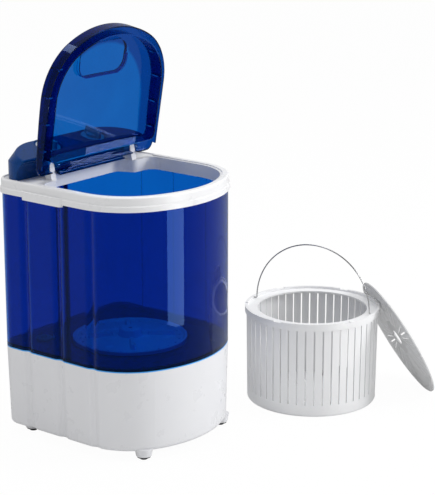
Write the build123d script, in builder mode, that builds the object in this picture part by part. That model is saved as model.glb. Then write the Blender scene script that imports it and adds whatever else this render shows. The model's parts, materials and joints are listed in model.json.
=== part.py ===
from build123d import *
import os
from math import atan2, cos, degrees, radians, sin, sqrt

# Small single-tub washing machine: a white base with the drive inside, a clear blue tub, a white top
# frame with a hinged clear blue lid, a wedge-shaped control housing at the back, and a loose white
# spin basket with a wire bail and a perforated cover disc. The machine stands on four feet.
# Millimetres. The origin is where the upright drive axis meets the floor. +X is to the right of
# someone facing the front, the front is towards -Y, and +Z is up.

# Plan of the body
half_width = 178.0
front_reach = 186.0
rear_reach = 186.0
front_radius = 230.0
corner_radius = 130.0
rear_radius = 34.0

# Heights above the floor
base_bottom = 18.0
seam_height = 181.0
frame_low = 491.0
ridge_height = 503.0
frame_top = 519.0

# Three soft upright grooves on each side of the base and tub
groove_rear = 111.0
groove_pitch = 85.5
groove_count = 3
groove_depth = 4.5
groove_radius = 10.0
groove_edge = 18.0

# Fits: beside a fixed neighbour, round a screw, between turning parts, and between bodies
seat_gap = 0.3
screw_gap = 0.1
running_gap = 0.05
body_gap = 0.3

# Base
base_wall = 3.2
base_draft = 4.0
base_round = 9.0
base_floor = 5.0

# Tub, and the round recess in its floor that the pulsator turns in
tub_wall = 3.0
tub_floor = 4.0
tub_floor_top = 188.0
recess_radius = 118.0
recess_floor_top = 178.0
tub_lap = 10.0

# Top frame
frame_wall = 3.0
skirt_proud = 4.0
band_proud = 1.5
frame_round = 4.0
rim_width = 16.0
opening_rear = 80.0
opening_setback = 117.0
setback_half = 97.0
jog_run = 17.0
jog_round = 13.0
opening_corner = 20.0
ledge_drop = 2.5
rim_land = 11.0
deck_land = 4.0
deck_front = 80.0
grip_length = 104.0
grip_y = 58.0
grip_proud = 4.0
grip_drop = 4.0

# Hinge posts
hinge_x = 117.0
hinge_y = 96.0
hinge_rise = 22.0
post_width = 13.0
post_foot_front = 86.0
post_foot_depth = 14.0
post_head = 10.0
post_head_back = 5.0
hook_radius = 6.0
pin_radius = 2.5

# Lid
lid_open = 80.0
lid_gap = 0.6
lid_wall = 2.6
lid_round = 5.0
lid_crown = 8.0
crown_radius = 1500.0
crown_centre = -50.0
strip_rise = 0.5
strip_start = 17.0
strip_wall = 3.2
lid_rear = 104.0
lid_rear_round = 16.0
skirt_lift_start = 88.0
skirt_lift = 9.0
tail_end = 114.5
tail_half = 94.0
tail_lip = 6.0
notch_gap = 1.2
ear_radius = 5.0
ear_inner = 15.0
ear_outer = 8.0
rib_inset = 14.0
rib_wall = 2.4
rib_reach = 5.0
spoke_count = 5
scoop_half = 66.0
scoop_front = -138.0
scoop_length = 64.0
scoop_depth = 10.0
scoop_corner = 24.0

# Control housing, with its sloping top
housing_side_land = 1.0
housing_corner = 50.0
housing_shoulder = 34.0
panel_lean = 4.0
panel_corner = 90.0
housing_low_front = 133.0
housing_top_front = 106.0
undercut_y = 125.5
undercut_rise = 24.5
front_rise = 41.0
rear_rise = 59.0
housing_wall = 2.8
housing_round = 4.0
boss_radius = 5.0
housing_screw_x = 126.0
housing_screw_y = 156.0
knob_x = 64.0
knob_y = 151.0
well_radius = 28.0
well_depth = 9.0
knob_radius = 22.0
knob_skirt = 25.0
knob_skirt_height = 4.0
knob_height = 19.0
knob_grip_width = 9.0
knob_hub = 14.0
knob_hub_height = 9.0
knob_lift = 3.0
knob_shaft_radius = 3.0
knob_shaft_reach = 14.0
unit_width = 44.0
unit_length = 34.0
timer_unit_depth = 24.0
selector_unit_depth = 15.0
unit_screw_offset = 15.0

# Pulsator
pulsator_radius = 113.0
pulsator_under = 184.0
pulsator_edge_low = 181.0
pulsator_plate = 5.0
pulsator_rim = 4.0
hub_radius = 25.0
hub_top = 208.0
vane_count = 4
vane_inner = 30.0
vane_outer = 92.0
vane_width = 17.0
vane_height = 14.0
vane_taper = 22.0
weep_radius = 2.5
weep_ring = 98.0
weep_count = 24

# Drive
shaft_radius = 6.0
shaft_low = 74.0
barrel_radius = 20.0
barrel_low = 111.0
barrel_flange_radius = 46.0
barrel_flange = 6.0
gasket_height = 1.0
neck_radius = 16.0
neck_top = 181.0
bush_radius = 11.0
bush_height = 15.0
seal_height = 7.0
flange_screw_ring = 36.0
flange_screw_count = 6
belt_low = 88.0
belt_height = 8.0
belt_thickness = 4.6
driven_radius = 70.0
motor_pulley_radius = 14.0
pulley_flange = 2.0
pulley_web = 4.0
pulley_hub = 13.0
nut_across = 17.0
nut_height = 6.0
motor_y = 105.0
motor_radius = 48.0
motor_height = 62.0
motor_shaft_radius = 4.0
motor_shaft_inside = 40.0
motor_screw_y = 34.0
bracket_low = 101.0
bracket_height = 3.0
bracket_spot_x = 66.0
bracket_spot_y = 44.0
bracket_margin = 11.0
grommet_height = 3.0
grommet_radius = 8.0

# Screws, and the pillars that they go into
pillar_radius = 6.5
pillar_bore = 4.2
pillar_top = 160.0
pillar_web = 10.0
tub_screw_radius = 1.8
tub_screw_length = 26.0
small_screw_radius = 1.5
small_screw_length = 12.0
short_screw_length = 7.0
head_ratio = 2.0
head_height = 2.2

# Plate over the service opening in the base, and the feet
plate_half_x = 116.0
plate_front = -96.0
plate_rear = 118.0
plate_corner = 28.0
plate_lip = 9.0
plate_height = 2.5
plate_boss_height = 12.0
vent_length = 46.0
vent_width = 4.0
vent_pitch = 10.0
vent_count = 6
foot_front = (118.0, -134.0)
foot_rear = (138.0, 140.0)
foot_boss_top = 18.0
foot_boss_end = 15.0
pad_height = 7.0
pad_flange = 3.0
pad_flange_radius = 13.0
pad_radius = 8.0
pad_sink = 3.4
foot_screw_radius = 2.0
foot_screw_length = 24.0

# Drain, mains inlet, capacitor and wiring
drain_x = -112.0
drain_y = 128.0
drain_radius = 10.0
drain_wall = 2.6
drain_level = 70.0
collar_radius = 13.0
collar_length = 2.5
spigot_seat = 12.0
spigot_neck = 9.1
barb_rise = 0.8
barb_pitch = 8.0
barb_count = 2
grille_radius = 17.0
grille_height = 3.0
grille_hole = 1.8
gland_x = 104.0
gland_level = 60.0
gland_bore = 4.0
gland_radius = 9.0
gland_flange = 12.0
capacitor_x = -146.0
capacitor_y = 40.0
capacitor_radius = 15.0
capacitor_height = 62.0
cup_height = 12.0
loom_radius = 3.5
loom_y = 168.0
loom_low = 146.0
loom_high = 548.0
duct_wall = 2.0

# Spin basket, bail and cover disc, standing beside the machine
basket_x = 370.0
basket_y = -180.0
basket_height = 200.0
basket_rim_radius = 140.0
basket_top_radius = 137.0
basket_foot_radius = 134.5
basket_wall = 2.5
basket_rim = 13.0
basket_foot_ring = 8.0
basket_floor_rise = 5.0
basket_cone_radius = 42.0
basket_cone_top = 28.0
basket_cone_height = 20.0
seat_drop = 5.0
seat_ring_radius = 114.0
seat_ring_height = 3.0
slot_pairs = 24
slot_width = 3.0
slot_low = 25.0
slot_high = 184.0
floor_slot_inner = 50.0
floor_slot_outer = 122.0
floor_slot_count = 16
bayonet_count = 6
bayonet_width = 18.0
bayonet_depth = 2.0
bayonet_angle = 5.0
bail_angle = -78.75
bail_wire = 1.25
bail_radius = 128.0
bail_pivot_drop = 2.5
bail_bend = 2.4
bail_notch = 5.0
disc_radius = 134.0
disc_height = 2.5
disc_bore = 17.0
disc_reach = 247.7
disc_direction = -36.1
disc_offset = -20.3
disc_sectors = 8
disc_slots = 4
disc_slot_width = 3.2
disc_slot_inner = 40.0
disc_slot_outer = 108.0
disc_hole_radius = 2.2
disc_hole_rows = 5
disc_hole_ring = 121.0
disc_hole_count = 40

os.makedirs("parts", exist_ok=True)


def save(part, name):
    """Label a finished piece and write it under its node's name."""
    part.label = name
    export_step(part, f"parts/{name}.step")


def body_outline(margin=0.0, grooves=True):
    """Plan of the machine, grown outwards by margin: straight sides, a bowed front, rounded corners."""
    w = half_width + margin
    arc_radius = front_radius + margin
    corner_y = front_radius - front_reach - sqrt(arc_radius**2 - w**2)
    groove_x = half_width + groove_radius - groove_depth
    cut = groove_radius - margin
    spots = [(s * groove_x, groove_rear - i * groove_pitch) for s in (-1, 1) for i in range(groove_count)]
    with BuildSketch() as outline:
        with BuildLine():
            Polyline((w, corner_y), (w, rear_reach + margin), (-w, rear_reach + margin), (-w, corner_y))
            ThreePointArc((-w, corner_y), (0, -front_reach - margin), (w, corner_y))
        make_face()
        fillet(outline.vertices().group_by(Axis.Y)[0], radius=corner_radius + margin)
        fillet(outline.vertices().group_by(Axis.Y)[-1], radius=rear_radius + margin)
        if grooves:
            with Locations(*spots):
                Circle(cut, mode=Mode.SUBTRACT)
            groove_edges = outline.vertices().filter_by(
                lambda v: any(abs(sqrt((v.X - x) ** 2 + (v.Y - y) ** 2) - cut) < 0.01 for x, y in spots)
            )
            fillet(groove_edges, radius=groove_edge + margin)
    return outline.sketch


def plan_slice(margin, front, rear, corner):
    """The plan without grooves, kept only between two lines across it, with rounded rear corners."""
    deep = 2 * (front_reach + rear_reach)
    with BuildSketch() as part_of_plan:
        add(body_outline(margin, grooves=False))
        with Locations((0, rear + deep / 2), (0, front - deep / 2)):
            Rectangle(4 * half_width, deep, mode=Mode.SUBTRACT)
        if corner > 0:
            fillet(part_of_plan.vertices().group_by(Axis.Y)[-1], radius=corner)
    return part_of_plan.sketch


def opening_outline(margin=0.0):
    """The way into the tub: a D whose straight back is set further back between the hinge posts."""
    far_front = -2 * front_reach
    back = opening_setback + margin
    shoulder = opening_rear + margin
    side = setback_half + margin
    with BuildSketch() as way_in:
        add(plan_slice(-rim_width + margin, far_front, shoulder, opening_corner + margin))
        with BuildLine():
            Polyline(
                (side + jog_run, shoulder / 2), (side + jog_run, shoulder), (side, back),
                (-side, back), (-side - jog_run, shoulder), (-side - jog_run, shoulder / 2), close=True,
            )
        make_face()
        fillet(way_in.vertices().group_by(Axis.Y)[-1], radius=jog_round + margin)
        jogs = way_in.vertices().filter_by(
            lambda v: abs(v.Y - shoulder) < 0.01 and abs(abs(v.X) - side - jog_run) < 0.01
        )
        fillet(jogs, radius=jog_round - margin)
    return way_in.sketch


def screws(planes, radius, length):
    """Pan-head screws: each head's underside lies on its plane, the shank runs down from there."""
    with BuildPart() as fasteners:
        with BuildSketch(*planes):
            Circle(radius * head_ratio)
        extrude(amount=head_height, taper=20)
        with BuildSketch(*planes):
            Circle(radius)
        extrude(amount=-length)
    return fasteners.part


def upward(spots, height):
    """Planes at a height that face down, for screws driven from below."""
    return [Plane(origin=(x, y, height), x_dir=(1, 0, 0), z_dir=(0, 0, -1)) for x, y in spots]


def ring(outer, inner, low, high):
    """An upright round tube about the drive axis."""
    with BuildPart() as tube:
        with BuildSketch(Plane.XY.offset(low)):
            Circle(outer)
            Circle(inner, mode=Mode.SUBTRACT)
        extrude(amount=high - low)
    return tube.part


# Where the screws and feet go
foot_spots = [(s * x, y) for x, y in (foot_front, foot_rear) for s in (-1, 1)]
tub_screw_spots = [(s * x, y) for x, y in ((152.0, -10.0), (152.0, 76.0), (86.0, -140.0)) for s in (-1, 1)]
plate_screw_x = plate_half_x - plate_lip / 2
plate_screw_spots = [(s * plate_screw_x, y) for y in (plate_front + 40, plate_rear - 40) for s in (-1, 1)]
bracket_spots = [
    (sx * bracket_spot_x, motor_y + sy * bracket_spot_y) for sx in (-1, 1) for sy in (-1, 1)
]
plate_middle = (plate_front + plate_rear) / 2
plate_length = plate_rear - plate_front
flange_top = base_bottom + base_floor
screw_hole = small_screw_radius + screw_gap

# Base: a drafted wall with a rounded bottom edge and an inner floor round the service opening
with BuildPart() as base_hollow:
    with BuildSketch(Plane.XY.offset(flange_top)):
        add(body_outline(-base_draft - base_wall))
    with BuildSketch(Plane.XY.offset(seam_height)):
        add(body_outline(-base_wall))
    loft()
    fillet(base_hollow.faces().sort_by(Axis.Z)[0].edges(), radius=base_round - base_wall)

with BuildPart() as base_housing:
    with BuildSketch(Plane.XY.offset(base_bottom)):
        add(body_outline(-base_draft))
    with BuildSketch(Plane.XY.offset(seam_height)):
        add(body_outline())
    loft()
    fillet(base_housing.faces().sort_by(Axis.Z)[0].edges(), radius=base_round)
    add(base_hollow.part, mode=Mode.SUBTRACT)
    # Pillars for the tub screws, bosses for the plate screws, bosses and cones for the feet
    with BuildSketch(Plane.XY.offset(flange_top)):
        with Locations(*tub_screw_spots):
            Circle(pillar_radius)
    extrude(amount=pillar_top - flange_top)
    with BuildSketch(Plane.XY.offset(flange_top)):
        with Locations(*plate_screw_spots):
            Circle(boss_radius)
        with Locations(*foot_spots):
            Circle(pillar_radius)
    extrude(amount=plate_boss_height)
    for spot in foot_spots:
        with BuildSketch(Plane.XY.offset(pad_height)):
            with Locations(spot):
                Circle(foot_boss_end)
        with BuildSketch(Plane.XY.offset(flange_top)):
            with Locations(spot):
                Circle(foot_boss_top)
        loft()
    # Cup that the capacitor stands in
    with BuildSketch(Plane.XY.offset(flange_top)):
        with Locations((capacitor_x, capacitor_y)):
            Circle(capacitor_radius + seat_gap + base_wall / 2)
            Circle(capacitor_radius + seat_gap, mode=Mode.SUBTRACT)
    extrude(amount=cup_height)
    # Service opening with a rebate for its plate
    with BuildSketch(Plane.XY.offset(base_bottom)):
        with Locations((0, plate_middle)):
            RectangleRounded(
                2 * (plate_half_x + seat_gap), plate_length + 2 * seat_gap, plate_corner + seat_gap
            )
    extrude(amount=plate_height, mode=Mode.SUBTRACT)
    with BuildSketch(Plane.XY.offset(base_bottom)):
        with Locations((0, plate_middle)):
            RectangleRounded(
                2 * (plate_half_x - plate_lip), plate_length - 2 * plate_lip, plate_corner - plate_lip
            )
    extrude(amount=base_floor, mode=Mode.SUBTRACT)
    # Screw holes
    with BuildSketch(Plane.XY.offset(base_bottom)):
        with Locations(*tub_screw_spots):
            Circle(pillar_bore)
    extrude(amount=pillar_top - pillar_web - base_bottom, mode=Mode.SUBTRACT)
    with BuildSketch(Plane.XY.offset(pillar_top - pillar_web)):
        with Locations(*tub_screw_spots):
            Circle(tub_screw_radius + screw_gap)
    extrude(amount=pillar_web, mode=Mode.SUBTRACT)
    with BuildSketch(Plane.XY.offset(base_bottom)):
        with Locations(*plate_screw_spots):
            Circle(screw_hole)
    extrude(amount=small_screw_length, mode=Mode.SUBTRACT)
    with BuildSketch(Plane.XY.offset(pad_height)):
        with Locations(*foot_spots):
            Circle(foot_screw_radius + screw_gap)
    extrude(amount=foot_screw_length, mode=Mode.SUBTRACT)
    # Holes in the back wall for the drain spigot and the mains inlet
    with BuildSketch(Plane.XZ.offset(-rear_reach - base_wall)):
        with Locations((drain_x, drain_level)):
            Circle(drain_radius + seat_gap)
        with Locations((gland_x, gland_level)):
            Circle(gland_radius + seat_gap)
    extrude(amount=4 * base_wall, mode=Mode.SUBTRACT)
save(base_housing.part, "base_housing")

# Plate that closes the service opening, with two rows of vents
with BuildPart() as bottom_plate:
    with BuildSketch(Plane.XY.offset(base_bottom)):
        with Locations((0, plate_middle)):
            RectangleRounded(2 * plate_half_x, plate_length, plate_corner)
        with Locations((0, plate_middle)):
            with GridLocations(2 * vent_length, vent_pitch, 2, vent_count):
                SlotOverall(vent_length, vent_width, mode=Mode.SUBTRACT)
        with Locations(*plate_screw_spots):
            Circle(screw_hole, mode=Mode.SUBTRACT)
    extrude(amount=plate_height)
save(bottom_plate.part, "bottom_plate")
save(screws(upward(plate_screw_spots, base_bottom), small_screw_radius, small_screw_length), "plate_screws")

# Rubber pads under the feet, each held by a screw in its recess
with BuildPart() as rubber_feet:
    with BuildSketch():
        with Locations(*foot_spots):
            Circle(pad_radius)
    extrude(amount=pad_height - pad_flange)
    chamfer(rubber_feet.faces().sort_by(Axis.Z)[: len(foot_spots)].edges(), length=1)
    with BuildSketch(Plane.XY.offset(pad_height - pad_flange)):
        with Locations(*foot_spots):
            Circle(pad_flange_radius)
    extrude(amount=pad_flange)
    with BuildSketch():
        with Locations(*foot_spots):
            Circle(foot_screw_radius * head_ratio + seat_gap)
    extrude(amount=pad_sink, mode=Mode.SUBTRACT)
    with BuildSketch():
        with Locations(*foot_spots):
            Circle(foot_screw_radius + screw_gap)
    extrude(amount=pad_height, mode=Mode.SUBTRACT)
save(rubber_feet.part, "rubber_feet")
foot_screw_set = screws(upward(foot_spots, pad_sink), foot_screw_radius, foot_screw_length)
save(foot_screw_set, "foot_screws")

# Tub: clear wall with a lip inside the base, a floor with the pulsator's recess, and a wiring duct
lip_margin = -base_wall - seat_gap - base_draft * tub_lap / (seam_height - flange_top)
floor_under = tub_floor_top - tub_floor
recess_under = recess_floor_top - tub_floor
flange_spots = [
    (
        flange_screw_ring * cos(radians(360 / flange_screw_count * i)),
        flange_screw_ring * sin(radians(360 / flange_screw_count * i)),
    )
    for i in range(flange_screw_count)
]
bracket_boss_end = bracket_low + bracket_height + grommet_height
duct_radius = loom_radius + seat_gap + duct_wall
with BuildPart() as tub:
    with BuildSketch(Plane.XY.offset(seam_height)):
        add(body_outline())
    extrude(amount=ridge_height - seam_height)
    with BuildSketch(Plane.XY.offset(seam_height - tub_lap)):
        add(body_outline(lip_margin))
    extrude(amount=tub_lap)
    with BuildSketch(Plane.XY.offset(seam_height - tub_lap)):
        add(body_outline(lip_margin - tub_wall))
    extrude(amount=floor_under - seam_height + tub_lap, mode=Mode.SUBTRACT)
    with BuildSketch(Plane.XY.offset(tub_floor_top)):
        add(body_outline(-tub_wall))
    extrude(amount=ridge_height - tub_floor_top, mode=Mode.SUBTRACT)
    # Bosses below the floor for the base and for the motor's bracket, then the recess
    with BuildSketch(Plane.XY.offset(pillar_top)):
        with Locations(*tub_screw_spots):
            Circle(pillar_radius)
    extrude(amount=floor_under - pillar_top)
    with BuildSketch(Plane.XY.offset(bracket_boss_end)):
        with Locations(*bracket_spots):
            Circle(pillar_radius)
    extrude(amount=floor_under - bracket_boss_end)
    with BuildSketch(Plane.XY.offset(recess_under)):
        Circle(recess_radius + tub_wall)
    extrude(amount=tub_floor_top - recess_under)
    with BuildSketch(Plane.XY.offset(recess_floor_top)):
        Circle(recess_radius)
    extrude(amount=tub_floor_top - recess_floor_top, mode=Mode.SUBTRACT)
    # Wiring duct up the back wall
    with BuildSketch(Plane.XY.offset(floor_under)):
        with Locations((0, loom_y)):
            Circle(duct_radius)
        with Locations((0, (loom_y + rear_reach) / 2)):
            Rectangle(2 * duct_wall, rear_reach - loom_y - tub_wall)
    extrude(amount=ridge_height - floor_under)
    with BuildSketch(Plane.XY.offset(floor_under)):
        with Locations((0, loom_y)):
            Circle(loom_radius + seat_gap)
    extrude(amount=ridge_height - floor_under, mode=Mode.SUBTRACT)
    # Drain socket, the hole for the bearing's neck, and screw holes
    with BuildSketch(Plane.XY.offset(floor_under)):
        with Locations((drain_x, drain_y)):
            Circle(drain_radius + seat_gap)
    extrude(amount=tub_floor, mode=Mode.SUBTRACT)
    with BuildSketch(Plane.XY.offset(recess_under)):
        Circle(neck_radius + seat_gap)
    extrude(amount=tub_floor, mode=Mode.SUBTRACT)
    with BuildSketch(Plane.XY.offset(recess_under)):
        with Locations(*flange_spots):
            Circle(screw_hole)
    extrude(amount=tub_floor / 2, mode=Mode.SUBTRACT)
    with BuildSketch(Plane.XY.offset(pillar_top)):
        with Locations(*tub_screw_spots):
            Circle(tub_screw_radius + screw_gap)
    extrude(amount=tub_screw_length - pillar_web, mode=Mode.SUBTRACT)
    with BuildSketch(Plane.XY.offset(bracket_boss_end)):
        with Locations(*bracket_spots):
            Circle(tub_screw_radius + screw_gap)
    extrude(amount=tub_screw_length, mode=Mode.SUBTRACT)
save(tub.part, "tub")
tub_screw_set = screws(upward(tub_screw_spots, pillar_top - pillar_web), tub_screw_radius, tub_screw_length)
save(tub_screw_set, "tub_screws")

# Top frame: a hollow white ring on the tub's edge, with a raised rim, a rear deck and two hinge posts
deck_top = frame_top - ledge_drop
deck_under = deck_top - frame_wall
hinge_z = frame_top + hinge_rise
lid_margin = -rim_land - lid_gap
deck_reach = 2 * rear_reach
housing_rear = rear_reach - deck_land - seat_gap
housing_half = half_width - deck_land - housing_side_land
housing_spots = [(s * housing_screw_x, housing_screw_y) for s in (-1, 1)]
with BuildPart() as frame_hollow:
    with BuildSketch(Plane.XY.offset(frame_low)):
        add(body_outline(seat_gap, grooves=False))
    extrude(amount=ridge_height - frame_low)
    with BuildSketch(Plane.XY.offset(ridge_height)):
        add(body_outline(band_proud - frame_wall, grooves=False))
    extrude(amount=deck_under - ridge_height)
    with BuildSketch(Plane.XY.offset(frame_low)):
        add(opening_outline(frame_wall))
    extrude(amount=deck_under - frame_low, mode=Mode.SUBTRACT)

with BuildPart() as top_frame:
    with BuildSketch(Plane.XY.offset(frame_low)):
        add(body_outline(skirt_proud, grooves=False))
    extrude(amount=ridge_height - frame_low)
    chamfer(top_frame.faces().sort_by(Axis.Z)[-1].edges(), length=skirt_proud - band_proud)
    with BuildSketch(Plane.XY.offset(ridge_height)):
        add(body_outline(band_proud, grooves=False))
    extrude(amount=frame_top - ridge_height)
    fillet(top_frame.faces().sort_by(Axis.Z)[-1].edges(), radius=frame_round)
    # A finger grip swells from each side
    with BuildSketch(Plane.XY.offset(frame_low - grip_drop)):
        with Locations(*[(s * half_width, grip_y) for s in (-1, 1)]):
            SlotOverall(grip_length, 2 * (skirt_proud + grip_proud), rotation=90)
        add(body_outline(seat_gap, grooves=False), mode=Mode.SUBTRACT)
    extrude(amount=ridge_height - frame_low + grip_drop)
    # Land for the lid, rear deck, the way in and the hollow underneath
    with BuildSketch(Plane.XY.offset(deck_top)):
        add(plan_slice(-rim_land, -2 * front_reach, lid_rear + lid_gap, 0))
        add(plan_slice(-deck_land, deck_front, deck_reach, 0))
    extrude(amount=ledge_drop, mode=Mode.SUBTRACT)
    with BuildSketch(Plane.XY.offset(frame_low)):
        add(opening_outline())
    extrude(amount=frame_top - frame_low, mode=Mode.SUBTRACT)
    add(frame_hollow.part, mode=Mode.SUBTRACT)
    # Hinge posts, leaning back and hooked at the top
    with BuildSketch(*[Plane(origin=(s * hinge_x, 0, 0), x_dir=(0, 1, 0), z_dir=(1, 0, 0)) for s in (-1, 1)]):
        with BuildLine():
            Polyline(
                (post_foot_front, deck_under),
                (post_foot_front, deck_top),
                (hinge_y + post_head_back - post_head, hinge_z),
                (hinge_y + post_head_back + post_head, hinge_z),
                (post_foot_front + post_foot_depth, deck_top),
                (post_foot_front + post_foot_depth, deck_under),
                close=True,
            )
        make_face()
        with Locations((hinge_y + post_head_back, hinge_z)):
            Circle(post_head)
        with Locations((hinge_y + post_head_back + post_head, hinge_z - post_head)):
            Circle(hook_radius, mode=Mode.SUBTRACT)
    extrude(amount=post_width / 2, both=True)
    with BuildSketch(Plane.YZ):
        with Locations((hinge_y, hinge_z)):
            Circle(pin_radius + running_gap)
    extrude(amount=half_width, both=True, mode=Mode.SUBTRACT)
    # Holes in the deck for the wiring and the housing's screws
    with BuildSketch(Plane.XY.offset(deck_under)):
        with Locations((0, loom_y)):
            Circle(loom_radius + seat_gap)
        with Locations(*housing_spots):
            Circle(screw_hole)
    extrude(amount=frame_wall, mode=Mode.SUBTRACT)
save(top_frame.part, "top_frame")

# Lid, drawn closed and then swung open about its pins
strip_top = hinge_z + strip_rise
strip_under = strip_top - strip_wall
crown_top = strip_top + lid_crown
strip_line = hinge_y - strip_start
far_front = -2 * front_reach
crown_axis = Plane(origin=(0, crown_centre, crown_top - crown_radius))


def lid_solid(inset, low, rear, corner, drop):
    """The space under the crowned lid, inset from its outline; the top is lowered by drop."""
    with BuildPart() as solid:
        with BuildSketch(Plane.XY.offset(low)):
            add(plan_slice(lid_margin - inset, far_front, rear, corner))
        extrude(amount=crown_top - low)
        with Locations(crown_axis):
            Sphere(crown_radius - drop, rotation=(90, 0, 0), mode=Mode.INTERSECT)
    return solid.part


with BuildPart() as lid_hollow:
    add(lid_solid(lid_wall, deck_top, lid_rear - lid_wall, lid_rear_round - lid_wall, lid_wall))
    with BuildSketch(Plane.XY.offset(strip_under)):
        with Locations((0, strip_line + half_width)):
            Rectangle(2 * half_width, 2 * half_width)
    extrude(amount=lid_crown + strip_wall, mode=Mode.SUBTRACT)

with BuildPart() as lid_ribs:
    add(lid_solid(rib_inset, deck_top - rib_reach, strip_line - lid_wall, lid_rear_round, lid_wall / 2))
    add(
        lid_solid(rib_inset + rib_wall, deck_top - rib_reach, strip_line - lid_wall - rib_wall,
                  lid_rear_round - rib_wall, 0),
        mode=Mode.SUBTRACT,
    )

with BuildPart() as lid_spokes:
    with BuildSketch(Plane.XY.offset(deck_top + rib_reach)):
        with GridLocations(0, (strip_line - far_front / 2) / spoke_count, 1, spoke_count):
            Rectangle(2 * half_width, rib_wall)
        add(plan_slice(lid_margin - rib_inset - rib_wall / 2, far_front, strip_line, 0), mode=Mode.SUBTRACT)
    extrude(amount=crown_top - deck_top)
    add(
        lid_solid(lid_wall / 2, deck_top, strip_line - lid_wall, lid_rear_round, lid_wall / 2),
        mode=Mode.INTERSECT,
    )

with BuildPart() as lid:
    add(lid_solid(0, deck_top + body_gap, lid_rear, lid_rear_round, 0))
    fillet(lid.faces().sort_by(Axis.Z)[-1].edges(), radius=lid_round)
    with BuildSketch(Plane.XY.offset(strip_top)):
        with Locations((0, strip_line + half_width)):
            Rectangle(2 * half_width, 2 * half_width)
    extrude(amount=lid_crown, mode=Mode.SUBTRACT)
    add(lid_hollow.part, mode=Mode.SUBTRACT)
    # The skirt stops short at the back, so that it clears the deck as the lid swings
    with BuildSketch(Plane.XY.offset(deck_top)):
        with Locations((0, skirt_lift_start + half_width)):
            Rectangle(2 * half_width, 2 * half_width)
    extrude(amount=skirt_lift, mode=Mode.SUBTRACT)
    add(lid_ribs.part)
    add(lid_spokes.part)
    # Scoop for the fingers near the front
    with BuildSketch(Plane.XY.offset(crown_top - scoop_depth - lid_wall)):
        with Locations((0, scoop_front + scoop_length / 2)):
            RectangleRounded(
                2 * (scoop_half + lid_wall), scoop_length + 2 * lid_wall, scoop_corner + lid_wall
            )
    extrude(amount=scoop_depth - lid_wall)
    with BuildSketch(Plane.XY.offset(crown_top - scoop_depth)):
        with Locations((0, scoop_front + scoop_length / 2)):
            RectangleRounded(2 * scoop_half, scoop_length, scoop_corner)
    extrude(amount=scoop_depth, mode=Mode.SUBTRACT)
    # Tail between the posts with a lip along its edge
    with BuildSketch(Plane.XY.offset(strip_under)):
        with Locations((0, (strip_line + tail_end) / 2)):
            Rectangle(2 * tail_half, tail_end - strip_line)
    extrude(amount=strip_wall)
    with BuildSketch(Plane.XY.offset(strip_under - tail_lip)):
        with Locations((0, tail_end - lid_wall / 2)):
            Rectangle(2 * tail_half, lid_wall)
    extrude(amount=tail_lip)
    # Notches for the posts, then the ears beside them and the bores for the pins
    with BuildSketch(Plane.XY.offset(deck_top)):
        with Locations(*[(s * hinge_x, hinge_y + half_width / 2) for s in (-1, 1)]):
            RectangleRounded(
                post_width + 2 * notch_gap, half_width + 2 * (post_head + notch_gap), post_width / 2
            )
        with Locations((0, lid_rear + half_width / 2)):
            Rectangle(2 * tail_half, half_width, mode=Mode.SUBTRACT)
    extrude(amount=crown_top - deck_top, mode=Mode.SUBTRACT)
    post_side = hinge_x + post_width / 2 + notch_gap
    post_inside = hinge_x - post_width / 2 - notch_gap
    ear_planes = [Plane(origin=(s * post_side, hinge_y, hinge_z), z_dir=(s, 0, 0)) for s in (-1, 1)]
    with BuildSketch(*ear_planes):
        Circle(ear_radius)
    extrude(amount=ear_outer)
    inner_planes = [Plane(origin=(s * post_inside, hinge_y, hinge_z), z_dir=(-s, 0, 0)) for s in (-1, 1)]
    with BuildSketch(*inner_planes):
        Circle(ear_radius)
    extrude(amount=ear_inner)
    with BuildSketch(Plane.YZ):
        with Locations((hinge_y, hinge_z)):
            Circle(pin_radius)
    extrude(amount=half_width, both=True, mode=Mode.SUBTRACT)

with BuildPart() as hinge_pins:
    pin_planes = [
        Plane(origin=(s * (post_inside - ear_inner), hinge_y, hinge_z), z_dir=(s, 0, 0)) for s in (-1, 1)
    ]
    with BuildSketch(*pin_planes):
        Circle(pin_radius)
    extrude(amount=ear_inner + ear_outer + post_width + 2 * notch_gap)

lid_axis = Axis((0, hinge_y, hinge_z), (1, 0, 0))
save(lid.part.rotate(lid_axis, -lid_open), "lid")
save(hinge_pins.part, "hinge_pins")

# Control housing: a wedge with a sloping top, an undercut front and two round wells for the knobs
panel_slope = degrees(atan2(rear_rise - front_rise, housing_rear - housing_top_front))
panel_normal = (0, -sin(radians(panel_slope)), cos(radians(panel_slope)))
panel_reach = (knob_y - housing_top_front) / cos(radians(panel_slope))
panel_z = deck_top + front_rise + panel_reach * sin(radians(panel_slope))


def panel_plane(side, depth):
    """Plane square to the sloping panel, on a knob's axis, at a depth below the panel."""
    panel = Plane(origin=(side * knob_x, knob_y, panel_z), x_dir=(1, 0, 0), z_dir=panel_normal)
    return panel.offset(-depth)


def housing_plan(level, half, corner, inset):
    """Outline of the housing from above at one level, its rear corners rounded."""
    with BuildSketch(Plane.XY.offset(level)) as plan:
        with Locations((0, housing_rear - inset - half)):
            Rectangle(2 * (half - inset), 2 * half)
        fillet(plan.vertices().group_by(Axis.Y)[-1], radius=corner - inset)
    return plan.sketch


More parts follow.
